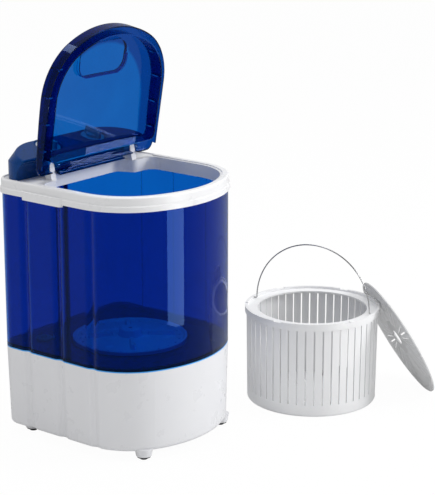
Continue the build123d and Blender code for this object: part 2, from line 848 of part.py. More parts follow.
def housing_block(inset):
    """The wedge, or the space inside it when it is inset by the wall. Its sides lean in above a shoulder."""
    low = deck_top - inset
    shoulder = deck_top + housing_shoulder
    with BuildPart() as walls:
        add(housing_plan(low, housing_half, housing_corner, inset))
        extrude(amount=shoulder - low)
        add(housing_plan(shoulder, housing_half, housing_corner, inset))
        add(housing_plan(deck_top + rear_rise, housing_half - panel_lean, panel_corner, inset))
        loft(ruled=True)
    with BuildPart() as block:
        with BuildSketch(Plane.YZ):
            with BuildLine():
                ThreePointArc(
                    (housing_low_front, low),
                    (undercut_y, deck_top + undercut_rise),
                    (housing_top_front, deck_top + front_rise),
                )
                Polyline(
                    (housing_top_front, deck_top + front_rise), (housing_rear, deck_top + rear_rise),
                    (housing_rear, low), (housing_low_front, low),
                )
            make_face()
            if inset > 0:
                offset(amount=-inset, kind=Kind.INTERSECTION, mode=Mode.REPLACE)
        extrude(amount=housing_half - inset, both=True)
        add(walls.part, mode=Mode.INTERSECT)
        if inset == 0:
            fillet(block.faces().sort_by(Axis.Z)[-1].edges(), radius=housing_round)
    return block.part


outer_block = housing_block(0)
knob_sides = (-1, 1)
unit_screw_planes = [
    panel_plane(side, well_depth).shift_origin(
        panel_plane(side, well_depth).from_local_coords((s * unit_screw_offset, 0, 0))
    )
    for side in knob_sides
    for s in (-1, 1)
]
with BuildPart() as housing_columns:
    with BuildSketch(Plane.XY.offset(deck_top)):
        with Locations(*housing_spots):
            Circle(boss_radius)
    extrude(amount=rear_rise)
    add(outer_block, mode=Mode.INTERSECT)

with BuildPart() as control_housing:
    add(outer_block)
    add(housing_block(housing_wall), mode=Mode.SUBTRACT)
    add(housing_columns.part)
    with BuildSketch(*[panel_plane(side, well_depth + housing_wall) for side in knob_sides]):
        Circle(well_radius + housing_wall)
    extrude(amount=well_depth + housing_wall / 2)
    with BuildSketch(*[panel_plane(side, well_depth) for side in knob_sides]):
        Circle(well_radius)
    extrude(amount=2 * well_depth, mode=Mode.SUBTRACT)
    with BuildSketch(*[panel_plane(side, well_depth) for side in knob_sides]):
        Circle(knob_shaft_radius + running_gap)
    extrude(amount=-2 * housing_wall, mode=Mode.SUBTRACT)
    with BuildSketch(*unit_screw_planes):
        Circle(screw_hole)
    extrude(amount=-2 * housing_wall, mode=Mode.SUBTRACT)
    with BuildSketch(Plane.XY.offset(deck_top)):
        with Locations(*housing_spots):
            Circle(screw_hole)
    extrude(amount=small_screw_length, mode=Mode.SUBTRACT)
save(control_housing.part, "control_housing")
save(screws(upward(housing_spots, deck_under), small_screw_radius, small_screw_length), "housing_screws")
save(screws(unit_screw_planes, small_screw_radius, short_screw_length), "control_screws")

# Knobs with their shafts, and the timer and selector switch that the shafts turn
for side, knob_name, shaft_name, unit_name, unit_depth in (
    (-1, "timer_knob", "timer_shaft", "wash_timer", timer_unit_depth),
    (1, "selector_knob", "selector_shaft", "selector_switch", selector_unit_depth),
):
    knob_low = well_depth - knob_lift
    under = well_depth + housing_wall
    with BuildPart() as knob:
        with BuildSketch(panel_plane(side, knob_low)):
            Circle(knob_skirt)
        extrude(amount=knob_skirt_height, taper=12)
        with BuildSketch(panel_plane(side, knob_low)):
            Circle(knob_hub)
        extrude(amount=knob_hub_height, taper=8)
        with BuildSketch(panel_plane(side, knob_low)):
            SlotOverall(2 * knob_radius, knob_grip_width, rotation=90)
        extrude(amount=knob_height, taper=4)
        with BuildSketch(panel_plane(side, knob_low)):
            Circle(knob_shaft_radius)
        extrude(amount=knob_shaft_reach, mode=Mode.SUBTRACT)
    save(knob.part, knob_name)
    with BuildPart() as knob_shaft:
        with BuildSketch(panel_plane(side, knob_low - knob_shaft_reach)):
            Circle(knob_shaft_radius)
        extrude(amount=-(knob_shaft_reach + knob_lift + housing_wall + selector_unit_depth / 2))
    save(knob_shaft.part, shaft_name)
    with BuildPart() as unit:
        with BuildSketch(panel_plane(side, under)):
            RectangleRounded(unit_width, unit_length, boss_radius)
            Circle(knob_shaft_radius + running_gap, mode=Mode.SUBTRACT)
        extrude(amount=-unit_depth)
        with BuildSketch(*[p for p in unit_screw_planes if p.origin.X * side > 0]):
            Circle(screw_hole)
        extrude(amount=-short_screw_length - screw_gap, mode=Mode.SUBTRACT)
    save(unit.part, unit_name)

# Pulsator: a dished disc with a domed hub, raised rim and four tapered vanes
disc_top = pulsator_under + pulsator_plate
with BuildPart() as pulsator:
    with BuildSketch(Plane.XZ):
        with BuildLine():
            Polyline(
                (0, pulsator_under),
                (pulsator_radius - pulsator_rim, pulsator_under),
                (pulsator_radius - pulsator_rim, pulsator_edge_low),
                (pulsator_radius, pulsator_edge_low),
                (pulsator_radius, disc_top + pulsator_rim),
                (pulsator_radius - pulsator_rim, disc_top + pulsator_rim),
                (pulsator_radius - 2 * pulsator_rim, disc_top),
                (hub_radius, disc_top + pulsator_rim),
                (hub_radius - pulsator_rim, hub_top),
                (0, hub_top),
                close=True,
            )
        make_face()
    revolve(axis=Axis.Z)
    fillet(pulsator.faces().sort_by(Axis.Z)[-1].edges(), radius=pulsator_rim)
    for i in range(vane_count):
        with BuildSketch(Plane.XY.offset(disc_top - pulsator_rim)):
            with PolarLocations((vane_inner + vane_outer) / 2, 1, start_angle=45 + 360 / vane_count * i):
                SlotOverall(vane_outer - vane_inner, vane_width)
        extrude(amount=vane_height, taper=vane_taper)
    with BuildSketch(Plane.XY.offset(pulsator_under)):
        with PolarLocations(weep_ring, weep_count):
            Circle(weep_radius)
    extrude(amount=2 * pulsator_plate, mode=Mode.SUBTRACT)
    # Bore for the shaft, and a sunk seat for the screw that holds the pulsator down
    shaft_top = hub_top - 2 * pulsator_rim
    with BuildSketch(Plane.XY.offset(pulsator_under)):
        Circle(shaft_radius)
    extrude(amount=shaft_top - pulsator_under, mode=Mode.SUBTRACT)
    with BuildSketch(Plane.XY.offset(shaft_top)):
        Circle(tub_screw_radius + screw_gap)
    extrude(amount=hub_top - shaft_top, mode=Mode.SUBTRACT)
    screw_seat = hub_top - 2 * screw_gap - head_height
    with BuildSketch(Plane.XY.offset(screw_seat)):
        Circle(tub_screw_radius * head_ratio + seat_gap)
    extrude(amount=hub_top - screw_seat, mode=Mode.SUBTRACT)
save(pulsator.part, "pulsator")
save(screws([Plane.XY.offset(screw_seat)], tub_screw_radius, tub_screw_length), "pulsator_screw")

pulley_low = belt_low - body_gap - pulley_flange
with BuildPart() as pulsator_shaft:
    with BuildSketch(Plane.XY.offset(shaft_low)):
        Circle(shaft_radius)
    extrude(amount=shaft_top - shaft_low)
    with BuildSketch(Plane.XY.offset(shaft_top)):
        Circle(tub_screw_radius + screw_gap)
    extrude(amount=-tub_screw_length, mode=Mode.SUBTRACT)
save(pulsator_shaft.part, "pulsator_shaft")

# Bearing housing under the recess: flange, barrel below it and neck up through the floor
flange_high = recess_under - gasket_height
flange_low = flange_high - barrel_flange
with BuildPart() as bearing_housing:
    add(ring(barrel_flange_radius, bush_radius, flange_low, flange_high))
    add(ring(barrel_radius, bush_radius, barrel_low, flange_low))
    add(ring(neck_radius, bush_radius, flange_high, neck_top))
    # A step inside keeps the two bushes apart
    add(ring(bush_radius, shaft_radius + 2, barrel_low + bush_height, flange_low - bush_height))
    with BuildSketch(Plane.XY.offset(flange_low)):
        with Locations(*flange_spots):
            Circle(screw_hole)
    extrude(amount=barrel_flange, mode=Mode.SUBTRACT)
save(bearing_housing.part, "bearing_housing")
with BuildPart() as bearing_bushes:
    add(ring(bush_radius, shaft_radius + running_gap, barrel_low, barrel_low + bush_height))
    add(ring(bush_radius, shaft_radius + running_gap, flange_low - bush_height, flange_low))
save(bearing_bushes.part, "bearing_bushes")
save(ring(bush_radius, shaft_radius + running_gap, neck_top - seal_height, neck_top), "shaft_seal")
with BuildPart() as bearing_gasket:
    add(ring(barrel_flange_radius, neck_radius, flange_high, recess_under))
    with BuildSketch(Plane.XY.offset(flange_high)):
        with Locations(*flange_spots):
            Circle(screw_hole)
    extrude(amount=gasket_height, mode=Mode.SUBTRACT)
save(bearing_gasket.part, "bearing_gasket")
flange_screw_length = barrel_flange + gasket_height + tub_floor / 2
save(screws(upward(flange_spots, flange_low), small_screw_radius, flange_screw_length), "bearing_screws")


def pulley(rim_radius, bore, x, y, hub_low, hub_high, hub_radius_out, web):
    """A belt pulley: flanged rim, web and hub."""
    high = belt_low + belt_height + body_gap
    with BuildPart() as wheel:
        with BuildSketch(Plane.XY.offset(belt_low - body_gap)):
            with Locations((x, y)):
                Circle(rim_radius)
        extrude(amount=high - belt_low + body_gap)
        if web < high - belt_low:
            with BuildSketch(Plane.XY.offset(belt_low - body_gap + web)):
                with Locations((x, y)):
                    Circle(rim_radius - web)
            extrude(amount=high, mode=Mode.SUBTRACT)
        with BuildSketch(Plane.XY.offset(high), Plane.XY.offset(pulley_low)):
            with Locations((x, y)):
                Circle(rim_radius + pulley_flange)
                if web < high - belt_low:
                    Circle(rim_radius - web, mode=Mode.SUBTRACT)
        extrude(amount=pulley_flange)
        with BuildSketch(Plane.XY.offset(hub_low)):
            with Locations((x, y)):
                Circle(hub_radius_out)
        extrude(amount=hub_high - hub_low)
        with BuildSketch(Plane.XY.offset(hub_low - pulley_flange)):
            with Locations((x, y)):
                Circle(bore)
        extrude(amount=barrel_low, mode=Mode.SUBTRACT)
    return wheel.part


hub_bottom = shaft_low + nut_height
driven_pulley = pulley(
    driven_radius, shaft_radius, 0, 0, hub_bottom, barrel_low - body_gap, pulley_hub, pulley_web
)
save(driven_pulley, "driven_pulley")
motor_pulley = pulley(
    motor_pulley_radius, motor_shaft_radius, 0, motor_y, pulley_low, pulley_low + pulley_flange,
    motor_pulley_radius, belt_height + pulley_hub,
)
save(motor_pulley, "motor_pulley")
with BuildPart() as pulley_nut:
    with BuildSketch(Plane.XY.offset(shaft_low)):
        RegularPolygon(nut_across / 2, 6, major_radius=False)
        Circle(shaft_radius, mode=Mode.SUBTRACT)
    extrude(amount=nut_height)
save(pulley_nut.part, "pulley_nut")

# Belt: the tight loop round both pulleys, a hair outside their rims
with BuildPart() as drive_belt:
    with BuildSketch(Plane.XY.offset(belt_low)):
        Circle(driven_radius + body_gap + belt_thickness)
        with Locations((0, motor_y)):
            Circle(motor_pulley_radius + body_gap + belt_thickness)
        make_hull()
    extrude(amount=belt_height)
    with BuildSketch(Plane.XY.offset(belt_low)):
        Circle(driven_radius + body_gap)
        with Locations((0, motor_y)):
            Circle(motor_pulley_radius + body_gap)
        make_hull()
    extrude(amount=belt_height, mode=Mode.SUBTRACT)
save(drive_belt.part, "drive_belt")

# Motor on its bracket, which hangs from the tub on rubber grommets
bracket_top = bracket_low + bracket_height
motor_screw_spots = [(0, motor_y + motor_screw_y), (motor_screw_y, motor_y), (-motor_screw_y, motor_y)]
with BuildPart() as motor_bracket:
    with BuildSketch(Plane.XY.offset(bracket_low)):
        with Locations((0, motor_y)):
            RectangleRounded(
                2 * (bracket_spot_x + bracket_margin), 2 * (bracket_spot_y + bracket_margin), bracket_margin
            )
            Circle(motor_shaft_radius + barrel_radius / 2, mode=Mode.SUBTRACT)
        with Locations(*bracket_spots):
            Circle(tub_screw_radius + screw_gap, mode=Mode.SUBTRACT)
        with Locations(*motor_screw_spots):
            Circle(tub_screw_radius + screw_gap, mode=Mode.SUBTRACT)
    extrude(amount=bracket_height)
save(motor_bracket.part, "motor_bracket")
with BuildPart() as motor_grommets:
    with BuildSketch(Plane.XY.offset(bracket_top)):
        with Locations(*bracket_spots):
            Circle(grommet_radius)
            Circle(tub_screw_radius + screw_gap, mode=Mode.SUBTRACT)
    extrude(amount=grommet_height)
save(motor_grommets.part, "motor_grommets")
save(screws(upward(bracket_spots, bracket_low), tub_screw_radius, tub_screw_length), "bracket_screws")
motor_screw_length = bracket_height + small_screw_length
save(screws(upward(motor_screw_spots, bracket_low), tub_screw_radius, motor_screw_length), "motor_screws")
with BuildPart() as motor:
    with BuildSketch(Plane.XY.offset(bracket_top)):
        with Locations((0, motor_y)):
            Circle(motor_radius)
    extrude(amount=motor_height)
    fillet(motor.faces().sort_by(Axis.Z)[-1].edges(), radius=2 * motor_shaft_radius)
    with BuildSketch(Plane.XY.offset(bracket_top)):
        with Locations((0, motor_y)):
            Circle(motor_shaft_radius + running_gap)
    extrude(amount=motor_shaft_inside, mode=Mode.SUBTRACT)
    with BuildSketch(Plane.XY.offset(bracket_top)):
        with Locations(*motor_screw_spots):
            Circle(tub_screw_radius + screw_gap)
    extrude(amount=small_screw_length, mode=Mode.SUBTRACT)
save(motor.part, "motor")
with BuildPart() as motor_shaft:
    with BuildSketch(Plane.XY.offset(pulley_low)):
        with Locations((0, motor_y)):
            Circle(motor_shaft_radius)
    extrude(amount=bracket_top + motor_shaft_inside - body_gap - pulley_low)
save(motor_shaft.part, "motor_shaft")

with BuildPart() as capacitor:
    with BuildSketch(Plane.XY.offset(flange_top)):
        with Locations((capacitor_x, capacitor_y)):
            Circle(capacitor_radius)
    extrude(amount=capacitor_height)
    chamfer(capacitor.faces().sort_by(Axis.Z)[-1].edges(), length=1.5)
save(capacitor.part, "motor_capacitor")

with BuildPart() as wiring_loom:
    with BuildSketch(Plane.XY.offset(loom_low)):
        with Locations((0, loom_y)):
            Circle(loom_radius)
    extrude(amount=loom_high - loom_low)
save(wiring_loom.part, "wiring_loom")

# Drain: strainer in the tub floor, elbow below it, and a spigot out through the back. Outside the
# wall the spigot has a collar, a plain seat for the hose, and a thinner end with barbs.
wall_slope = base_draft / (seam_height - base_bottom)
collar_start = rear_reach + seat_gap - wall_slope * (seam_height - drain_level - collar_radius)
seat_end = collar_start + collar_length + spigot_seat
drain_reach = seat_end + barb_count * barb_pitch
drain_bore = drain_radius - drain_wall
with BuildPart() as drain_elbow:
    with BuildSketch(Plane.XY.offset(drain_level)):
        with Locations((drain_x, drain_y)):
            Circle(drain_radius)
    extrude(amount=tub_floor_top - drain_level)
    with BuildSketch(Plane(origin=(drain_x, drain_y, drain_level), z_dir=(0, 1, 0))):
        Circle(drain_radius)
    extrude(amount=seat_end - drain_y)
    with Locations((drain_x, drain_y, drain_level)):
        Sphere(drain_radius)
    with BuildSketch(Plane(origin=(drain_x, collar_start, drain_level), z_dir=(0, 1, 0))):
        Circle(collar_radius)
    extrude(amount=collar_length)
    with BuildSketch(Plane(origin=(drain_x, seat_end, drain_level), z_dir=(0, 1, 0))):
        Circle(spigot_neck)
    extrude(amount=drain_reach - seat_end)
    for i in range(barb_count):
        barb_end = drain_reach - i * barb_pitch
        with BuildSketch(Plane(origin=(drain_x, barb_end - barb_pitch / 2, drain_level), z_dir=(0, 1, 0))):
            Circle(spigot_neck + barb_rise)
        with BuildSketch(Plane(origin=(drain_x, barb_end, drain_level), z_dir=(0, 1, 0))):
            Circle(spigot_neck)
        loft()
    with BuildSketch(Plane.XY.offset(drain_level)):
        with Locations((drain_x, drain_y)):
            Circle(drain_bore)
    extrude(amount=tub_floor_top - drain_level, mode=Mode.SUBTRACT)
    with BuildSketch(Plane(origin=(drain_x, drain_y, drain_level), z_dir=(0, 1, 0))):
        Circle(drain_bore)
    extrude(amount=drain_reach - drain_y, mode=Mode.SUBTRACT)
    with Locations((drain_x, drain_y, drain_level)):
        Sphere(drain_bore, mode=Mode.SUBTRACT)
save(drain_elbow.part, "drain_elbow")
with BuildPart() as drain_grille:
    with BuildSketch(Plane.XY.offset(tub_floor_top)):
        with Locations((drain_x, drain_y)):
            Circle(grille_radius)
            with PolarLocations((drain_bore - grille_hole) * 0.9, 6):
                Circle(grille_hole, mode=Mode.SUBTRACT)
    extrude(amount=grille_height)
    chamfer(drain_grille.faces().sort_by(Axis.Z)[-1].edges().sort_by(Edge.length)[-1], length=1)
save(drain_grille.part, "drain_grille")

gland_start = rear_reach - 2 * gland_radius
with BuildPart() as cord_gland:
    with BuildSketch(Plane(origin=(gland_x, gland_start, gland_level), z_dir=(0, 1, 0))):
        Circle(gland_radius)
    extrude(amount=2 * gland_radius)
    with BuildSketch(Plane(origin=(gland_x, rear_reach, gland_level), z_dir=(0, 1, 0))):
        Circle(gland_flange)
    extrude(amount=base_wall, taper=10)
    with BuildSketch(Plane(origin=(gland_x, gland_start, gland_level), z_dir=(0, 1, 0))):
        Circle(gland_bore)
    extrude(amount=3 * gland_radius, mode=Mode.SUBTRACT)
save(cord_gland.part, "cord_gland")

# Spin basket beside the machine, drawn on its own axis on the floor
basket_axis = Axis((basket_x, basket_y, 0), (0, 0, 1))
rim_low = basket_height - basket_rim
seat_z = basket_height - seat_drop
pivot_z = basket_height - bail_pivot_drop
seat_bore = disc_radius + body_gap
bail_along = (cos(radians(bail_angle)), sin(radians(bail_angle)), 0)
bail_across = (bail_along[1], -bail_along[0], 0)
bail_plane = Plane(origin=(basket_x, basket_y, pivot_z), x_dir=bail_along, z_dir=bail_across)
bail_end = basket_rim_radius - 2 * bail_wire
with BuildPart() as spin_basket:
    with BuildSketch(Plane(origin=(basket_x, basket_y, 0), x_dir=(1, 0, 0), z_dir=(0, -1, 0))):
        with BuildLine():
            Polyline(
                (0, basket_cone_height - basket_wall),
                (basket_cone_top, basket_cone_height - basket_wall),
                (basket_cone_radius, basket_floor_rise),
                (basket_foot_radius - basket_foot_ring, basket_floor_rise),
                (basket_foot_radius - basket_foot_ring, 0),
                (basket_foot_radius, 0),
                (basket_top_radius, rim_low),
                (basket_rim_radius, rim_low),
                (basket_rim_radius, basket_height),
                (seat_bore, basket_height),
                (seat_bore, seat_z),
                (seat_ring_radius, seat_z),
                (seat_ring_radius, seat_z - seat_ring_height),
                (basket_top_radius - basket_wall, seat_z - 2 * seat_ring_height),
                (basket_foot_radius - basket_wall, basket_floor_rise + basket_wall),
                (basket_cone_radius + basket_wall, basket_floor_rise + basket_wall),
                (basket_cone_top + basket_wall, basket_cone_height),
                (0, basket_cone_height),
                close=True,
            )
        make_face()
    revolve(axis=basket_axis)
    foot_edges = spin_basket.edges().filter_by(GeomType.CIRCLE).group_by(Axis.Z)[0]
    fillet(foot_edges.sort_by(SortBy.RADIUS)[-1], radius=basket_foot_ring - basket_wall)
    # Slots in pairs across the basket, then slots in the floor
    with Locations((basket_x, basket_y, (slot_low + slot_high) / 2)):
        with PolarLocations(0, slot_pairs, angular_range=180):
            Box(2 * basket_rim_radius, slot_width, slot_high - slot_low, mode=Mode.SUBTRACT)
    with BuildSketch(Plane(origin=(basket_x, basket_y, 0))):
        with PolarLocations((floor_slot_inner + floor_slot_outer) / 2, floor_slot_count):
            SlotOverall(floor_slot_outer - floor_slot_inner, slot_width)
    extrude(amount=basket_floor_rise + 2 * basket_wall, mode=Mode.SUBTRACT)
    # Notches in the rim that lock the disc down
    with BuildSketch(Plane(origin=(basket_x, basket_y, basket_height - bayonet_depth))):
        with PolarLocations(basket_rim_radius, bayonet_count, start_angle=bayonet_angle):
            Rectangle(2 * (basket_rim_radius - seat_ring_radius), bayonet_width)
    extrude(amount=bayonet_depth, mode=Mode.SUBTRACT)
    # Blind holes in the rim for the ends of the bail
    with BuildSketch(Plane(origin=(basket_x, basket_y, pivot_z), z_dir=bail_along)):
        Circle(bail_wire + running_gap)
    extrude(amount=bail_end + body_gap, both=True, mode=Mode.SUBTRACT)
save(spin_basket.part, "spin_basket")

# Bail: a wire half circle whose ends turn outwards into the rim
corner = bail_bend * (1 - sqrt(0.5))
with BuildPart() as basket_bail:
    with BuildLine(bail_plane) as bail_path:
        Line((bail_end, 0), (bail_radius + bail_bend, 0))
        ThreePointArc(
            (bail_radius + bail_bend, 0), (bail_radius + corner, corner), (bail_radius, bail_bend)
        )
        ThreePointArc((bail_radius, bail_bend), (0, bail_bend + bail_radius), (-bail_radius, bail_bend))
        ThreePointArc(
            (-bail_radius, bail_bend), (-bail_radius - corner, corner), (-bail_radius - bail_bend, 0)
        )
        Line((-bail_radius - bail_bend, 0), (-bail_end, 0))
    with BuildSketch(Plane(origin=bail_path.line @ 0, z_dir=bail_path.line % 0)):
        Circle(bail_wire)
    sweep()
save(basket_bail.part, "basket_bail")

# Cover disc: stands on its edge on the floor and leans on the basket's rim; two notches let the bail by
lean = atan2(basket_height, disc_reach - basket_rim_radius - body_gap)
out = (cos(radians(disc_direction)), sin(radians(disc_direction)))
foot_reach = disc_reach - disc_radius * cos(lean)
disc_plane = Plane(
    origin=(
        basket_x + out[0] * foot_reach - out[1] * disc_offset,
        basket_y + out[1] * foot_reach + out[0] * disc_offset,
        disc_radius * sin(lean),
    ),
    x_dir=(-out[1], out[0], 0),
    z_dir=(out[0] * sin(lean), out[1] * sin(lean), cos(lean)),
)
slot_mid = (disc_slot_inner + disc_slot_outer) / 2
slot_fan = 360 / disc_sectors / (disc_slots + 1)
with BuildPart() as basket_disc:
    with BuildSketch(disc_plane):
        Circle(disc_radius)
        Circle(disc_bore, mode=Mode.SUBTRACT)
        with PolarLocations(disc_radius, 2):
            Rectangle(2 * (disc_radius - bail_radius + bail_wire + body_gap), bail_notch, mode=Mode.SUBTRACT)
        with PolarLocations(disc_hole_ring, disc_hole_count, start_angle=180 / disc_hole_count):
            Circle(disc_hole_radius, mode=Mode.SUBTRACT)
        for i in range(disc_slots):
            with PolarLocations(slot_mid, disc_sectors, start_angle=(i + 1) * slot_fan):
                SlotOverall(disc_slot_outer - disc_slot_inner, disc_slot_width, mode=Mode.SUBTRACT)
        for i in range(disc_hole_rows):
            row_radius = disc_slot_inner + (i + 0.5) * (disc_slot_outer - disc_slot_inner) / disc_hole_rows
            with PolarLocations(row_radius, disc_sectors):
                Circle(disc_hole_radius, mode=Mode.SUBTRACT)
    extrude(amount=disc_height)
save(basket_disc.part, "basket_disc")
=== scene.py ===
import json
import math

import bmesh
import bpy
import numpy as np
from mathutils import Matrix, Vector


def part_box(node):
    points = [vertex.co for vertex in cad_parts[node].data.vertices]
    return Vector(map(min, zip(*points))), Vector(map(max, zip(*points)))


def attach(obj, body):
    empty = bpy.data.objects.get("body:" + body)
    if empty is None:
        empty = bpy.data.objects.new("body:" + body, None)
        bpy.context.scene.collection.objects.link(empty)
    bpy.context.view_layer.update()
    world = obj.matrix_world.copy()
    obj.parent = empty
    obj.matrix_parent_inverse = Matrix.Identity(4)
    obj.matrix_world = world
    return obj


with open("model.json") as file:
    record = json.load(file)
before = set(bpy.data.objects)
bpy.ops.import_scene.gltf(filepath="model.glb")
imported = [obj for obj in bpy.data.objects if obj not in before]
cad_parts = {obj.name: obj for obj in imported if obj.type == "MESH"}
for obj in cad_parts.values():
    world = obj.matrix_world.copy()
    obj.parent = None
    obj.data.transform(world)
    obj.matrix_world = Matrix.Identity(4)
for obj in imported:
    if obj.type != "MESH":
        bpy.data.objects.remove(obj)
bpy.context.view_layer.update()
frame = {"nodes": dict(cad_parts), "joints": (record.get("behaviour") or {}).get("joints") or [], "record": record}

# Small washing machine with a clear blue tub, a white base and top frame, a raised clear blue lid,
# a dark blue control housing, and a white spin basket with its cover disc beside it. Metres.

nodes = frame["nodes"]
MM = 0.001


# Shader node groups that several finishes share

def start_group(name, inputs, outputs):
    """A new shader node group with named inputs and outputs, and its two end nodes."""
    group = bpy.data.node_groups.new(name, "ShaderNodeTree")
    for label, kind, value in inputs:
        socket = group.interface.new_socket(name=label, in_out="INPUT", socket_type=kind)
        if value is not None:
            socket.default_value = value
    for label, kind in outputs:
        group.interface.new_socket(name=label, in_out="OUTPUT", socket_type=kind)
    return group, group.nodes.new("NodeGroupInput"), group.nodes.new("NodeGroupOutput")


def noise(tree, vector, scale, detail=2.0, roughness=0.5):
    """Noise node whose scale is a number or another node's output."""
    node = tree.nodes.new("ShaderNodeTexNoise")
    node.inputs["Detail"].default_value = detail
    node.inputs["Roughness"].default_value = roughness
    tree.links.new(vector, node.inputs["Vector"])
    if isinstance(scale, (int, float)):
        node.inputs["Scale"].default_value = scale
    else:
        tree.links.new(scale, node.inputs["Scale"])
    return node.outputs["Fac"]


def span(tree, value, low, high, to_low, to_high):
    """Carries a value from one range to another, held at the ends."""
    node = tree.nodes.new("ShaderNodeMapRange")
    tree.links.new(value, node.inputs["Value"])
    for label, end in (("From Min", low), ("From Max", high), ("To Min", to_low), ("To Max", to_high)):
        if isinstance(end, (int, float)):
            node.inputs[label].default_value = end
        else:
            tree.links.new(end, node.inputs[label])
    return node.outputs["Result"]


def sums(tree, operation, a, b):
    """One Math node on two values, each a number or an output."""
    node = tree.nodes.new("ShaderNodeMath")
    node.operation = operation
    for i, value in enumerate((a, b)):
        if isinstance(value, (int, float)):
            node.inputs[i].default_value = value
        else:
            tree.links.new(value, node.inputs[i])
    return node.outputs[0]


def blended(tree, share, first, second):
    """Mixes two colours by a share, each a colour or an output."""
    node = tree.nodes.new("ShaderNodeMix")
    node.data_type = "RGBA"
    slots = [s for s in node.inputs if s.type == "RGBA"]
    factor = next(s for s in node.inputs if s.name == "Factor" and s.type == "VALUE")
    if isinstance(share, (int, float)):
        factor.default_value = share
    else:
        tree.links.new(share, factor)
    for slot, colour in zip(slots, (first, second)):
        if isinstance(colour, tuple):
            slot.default_value = colour
        else:
            tree.links.new(colour, slot)
    return next(s for s in node.outputs if s.type == "RGBA")


def moulded_skin_group():
    """Skin of moulded plastic: a fine grain and a slow ripple in height, and gloss that varies in clouds."""
    group, enter, leave = start_group(
        "moulded_skin",
        [
            ("Vector", "NodeSocketVector", None),
            ("Grain Scale", "NodeSocketFloat", 1400.0),
            ("Grain Share", "NodeSocketFloat", 0.3),
            ("Ripple Scale", "NodeSocketFloat", 14.0),
            ("Gloss Low", "NodeSocketFloat", 0.25),
            ("Gloss High", "NodeSocketFloat", 0.38),
        ],
        [("Height", "NodeSocketFloat"), ("Roughness", "NodeSocketFloat")],
    )
    vector = enter.outputs["Vector"]
    grain = noise(group, vector, enter.outputs["Grain Scale"])
    ripple = noise(group, vector, enter.outputs["Ripple Scale"], detail=1.0)
    clouds = noise(group, vector, 26.0, detail=4.0, roughness=0.6)
    fine = sums(group, "MULTIPLY", grain, enter.outputs["Grain Share"])
    group.links.new(sums(group, "ADD", fine, ripple), leave.inputs["Height"])
    gloss = span(group, clouds, 0.3, 0.7, enter.outputs["Gloss Low"], enter.outputs["Gloss High"])
    group.links.new(gloss, leave.inputs["Roughness"])
    return group


def rub_marks_group():
    """Fine straight scuffs: noise drawn out along one axis, cut down to its highest ridges."""
    group, enter, leave = start_group(
        "rub_marks",
        [
            ("Vector", "NodeSocketVector", None),
            ("Spread", "NodeSocketFloat", 0.5),
        ],
        [("Mask", "NodeSocketFloat")],
    )
    shape = group.nodes.new("ShaderNodeMapping")
    shape.inputs["Scale"].default_value = (420.0, 420.0, 16.0)
    shape.inputs["Rotation"].default_value = (0.5, 0.9, 0.2)
    group.links.new(enter.outputs["Vector"], shape.inputs["Vector"])
    strokes = noise(group, shape.outputs["Vector"], 1.0, roughness=0.55)
    patches = noise(group, enter.outputs["Vector"], 17.0, detail=3.0)
    lines = span(group, strokes, 0.62, 0.72, 0.0, 1.0)
    where = span(group, patches, 0.48, 0.66, 0.0, enter.outputs["Spread"])
    group.links.new(sums(group, "MULTIPLY", lines, where), leave.inputs["Mask"])
    return group


def settled_dust_group():
    """Thin dust on faces that look up: the normal's rise, broken up by noise."""
    group, enter, leave = start_group(
        "settled_dust",
        [
            ("Vector", "NodeSocketVector", None),
            ("Amount", "NodeSocketFloat", 0.1),
        ],
        [("Mask", "NodeSocketFloat")],
    )
    facing = group.nodes.new("ShaderNodeNewGeometry")
    split = group.nodes.new("ShaderNodeSeparateXYZ")
    group.links.new(facing.outputs["Normal"], split.inputs["Vector"])
    rise = span(group, split.outputs["Z"], 0.55, 0.98, 0.0, enter.outputs["Amount"])
    specks = noise(group, enter.outputs["Vector"], 310.0, detail=5.0, roughness=0.7)
    drift = span(group, specks, 0.42, 0.68, 0.0, 1.0)
    group.links.new(sums(group, "MULTIPLY", rise, drift), leave.inputs["Mask"])
    return group


def colour_drift_group():
    """Slow colour drift of dyed plastic: a base colour shifts towards a second in soft clouds."""
    group, enter, leave = start_group(
        "colour_drift",
        [
            ("Vector", "NodeSocketVector", None),
            ("Colour", "NodeSocketColor", (0.8, 0.8, 0.8, 1.0)),
            ("Drift Colour", "NodeSocketColor", (0.7, 0.7, 0.7, 1.0)),
            ("Scale", "NodeSocketFloat", 9.0),
            ("Amount", "NodeSocketFloat", 0.5),
        ],
        [("Colour", "NodeSocketColor")],
    )
    clouds = noise(group, enter.outputs["Vector"], enter.outputs["Scale"], detail=3.0, roughness=0.55)
    share = span(group, clouds, 0.35, 0.65, 0.0, enter.outputs["Amount"])
    mixed = blended(group, share, enter.outputs["Colour"], enter.outputs["Drift Colour"])
    group.links.new(mixed, leave.inputs["Colour"])
    return group


MOULDED_SKIN = moulded_skin_group()
RUB_MARKS = rub_marks_group()
SETTLED_DUST = settled_dust_group()
COLOUR_DRIFT = colour_drift_group()


# Finishes

PALE_BLUE = (0.12, 0.36, 1.0, 1.0)
# Painted light: the light blue glow on the white base's top rim, under the clear tub.
PAINTED_SEAM_GLOW = (0.03, 0.33, 0.85, 1.0)
# Painted shade: darker blue for the lid's rim and skirt.
PAINTED_RIM_SHADE = (0.002, 0.045, 0.27, 1.0)
DUST = (0.62, 0.6, 0.56, 1.0)
DUST_ON_RUBBER = (0.35, 0.34, 0.32, 1.0)
EDGE_BAND = 1.8 * MM
EDGE_FADE = 0.8 * MM
ARCH_FADE = 6.0 * MM
RIM_WIDTH = 40.0 * MM


def place_group(tree, group, vector, **values):
    """Puts a node group in a material, with its own values; underscores in a name stand for spaces."""
    node = tree.nodes.new("ShaderNodeGroup")
    node.node_tree = group
    tree.links.new(vector, node.inputs["Vector"])
    for label, value in values.items():
        socket = node.inputs[label.replace("_", " ")]
        if hasattr(value, "links"):
            tree.links.new(value, socket)
        else:
            socket.default_value = value
    return node


